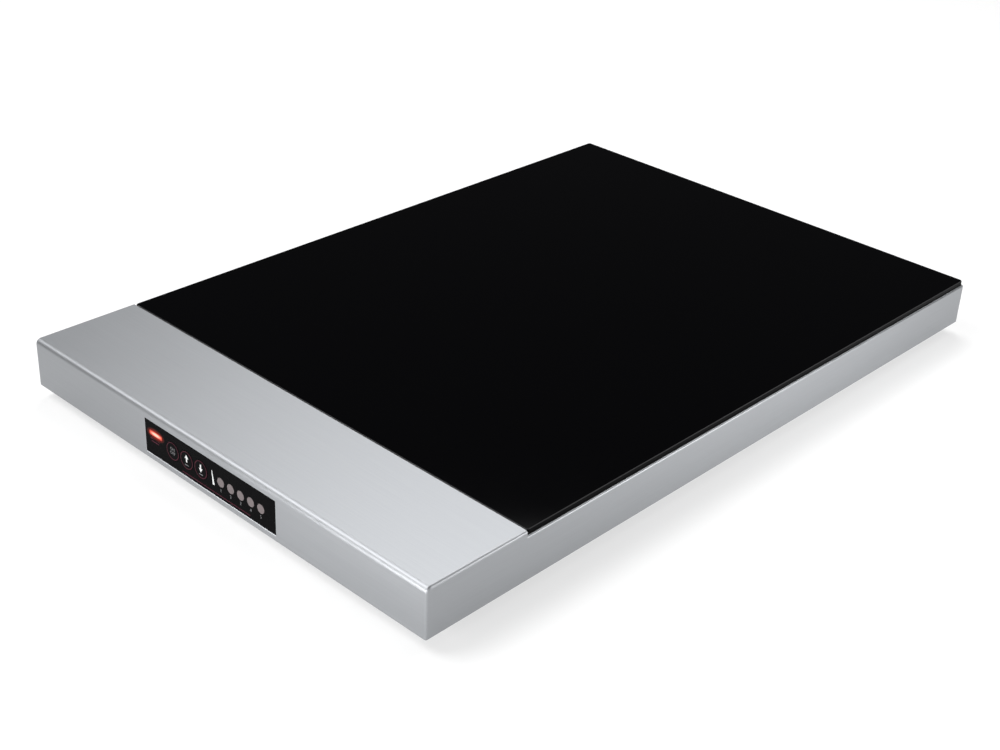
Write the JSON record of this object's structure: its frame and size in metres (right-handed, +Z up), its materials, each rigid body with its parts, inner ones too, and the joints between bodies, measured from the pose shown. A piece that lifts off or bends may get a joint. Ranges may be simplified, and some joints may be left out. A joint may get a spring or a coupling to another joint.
{
  "type": "electric food warmer tray",
  "caption": "Flat rectangular electric warming tray with a low folded steel casing, a heated black glass top and a front control panel with press keys and indicators.",
  "frame": {"origin": "on the ground under the middle of the tray, at the bottom of its feet", "axes": "+X to the right as the user faces the control panel, +Y from the control face to the rear, +Z up"},
  "size_m": [0.5, 0.7543, 0.058],
  "materials": {
    "stainless": "satin brushed stainless sheet",
    "black_glass": "polished opaque black glass",
    "seal_rubber": "matt black silicone rubber",
    "aluminium_sheet": "mill finish",
    "silicone_mat": "matt silicone",
    "heating_foil": "etched foil",
    "insulation": "ceramic fibre board",
    "zinc_sheet": "zinc coated",
    "brass": "bright",
    "steel_fastener": "zinc plated",
    "panel_black": "semi gloss printed film",
    "carrier_black": "moulded ABS",
    "key_black": "semi gloss moulded",
    "plunger_white": "moulded",
    "lamp_red": "lit red diffuser",
    "lens_grey": "unlit smoked lens",
    "circuit_board": "solder mask",
    "component_black": "moulded",
    "led_clear": "clear epoxy",
    "core_iron": "varnished laminations",
    "component_blue": "moulded",
    "terminal_green": "moulded",
    "component_white": "moulded nylon",
    "ribbon_grey": "PVC ribbon",
    "inlet_black": "moulded nylon",
    "lead_black": "rubber sheath",
    "clip_nylon": "moulded nylon",
    "lead_white": "silicone sleeve",
    "lead_brown": "silicone sleeve",
    "foot_rubber": "moulded rubber"
  },
  "bodies": {
    "warmer": {"base_plate": "zinc_sheet", "base_screws": "steel_fastener", "board_screws": "steel_fastener", "board_spacers": "brass", "bulkhead": "zinc_sheet", "cable_clips": "clip_nylon", "capacitors": "component_black", "carrier_nuts": "steel_fastener", "casing": "stainless", "display_board": "circuit_board", "foot_front_left": "foot_rubber", "foot_front_right": "foot_rubber", "foot_nuts": "steel_fastener", "foot_rear_left": "foot_rubber", "foot_rear_right": "foot_rubber", "foot_screws": "steel_fastener", "fuse_holder": "brass", "glass_seal": "seal_rubber", "glass_top": "black_glass", "grommets": "seal_rubber", "heat_spreader": "aluminium_sheet", "heater_leads": "lead_white", "heater_mat": "silicone_mat", "heater_terminal": "terminal_green", "heater_tray": "zinc_sheet", "heating_track": "heating_foil", "indicator_leds": "led_clear", "indicator_lens_1": "lens_grey", "indicator_lens_2": "lens_grey", "indicator_lens_3": "lens_grey", "indicator_lens_4": "lens_grey", "indicator_lens_5": "lens_grey", "inlet_body": "inlet_black", "inlet_boot": "seal_rubber", "inlet_pins": "brass", "inlet_screws": "steel_fastener", "insulation_board": "insulation", "lamp_lens": "lamp_red", "mains_lead": "lead_black", "mains_terminal": "component_white", "panel_carrier": "carrier_black", "panel_film": "panel_black", "power_board": "circuit_board", "probe_lead": "lead_white", "relay": "component_blue", "ribbon_cable": "ribbon_grey", "ribbon_headers": "component_black", "supply_leads": "lead_brown", "supply_terminal": "terminal_green", "tact_switches": "component_black", "temperature_probe": "brass", "thermal_cutout": "aluminium_sheet", "transformer": "core_iron", "tray_nuts": "steel_fastener"},
    "power_button": {"power_key": "key_black", "power_plunger": "plunger_white"},
    "up_button": {"up_key": "key_black", "up_plunger": "plunger_white"},
    "down_button": {"down_key": "key_black", "down_plunger": "plunger_white"}
  },
  "joints": [
    {"name": "power_key_press", "type": "slide", "parent": "warmer", "child": "power_button", "axis": [0, 1, 0], "range_m": [0, 0.0005], "stiffness_N_per_m": 2400},
    {"name": "up_key_press", "type": "slide", "parent": "warmer", "child": "up_button", "axis": [0, 1, 0], "range_m": [0, 0.0005], "stiffness_N_per_m": 2400},
    {"name": "down_key_press", "type": "slide", "parent": "warmer", "child": "down_button", "axis": [0, 1, 0], "range_m": [0, 0.0005], "stiffness_N_per_m": 2400}
  ]
}
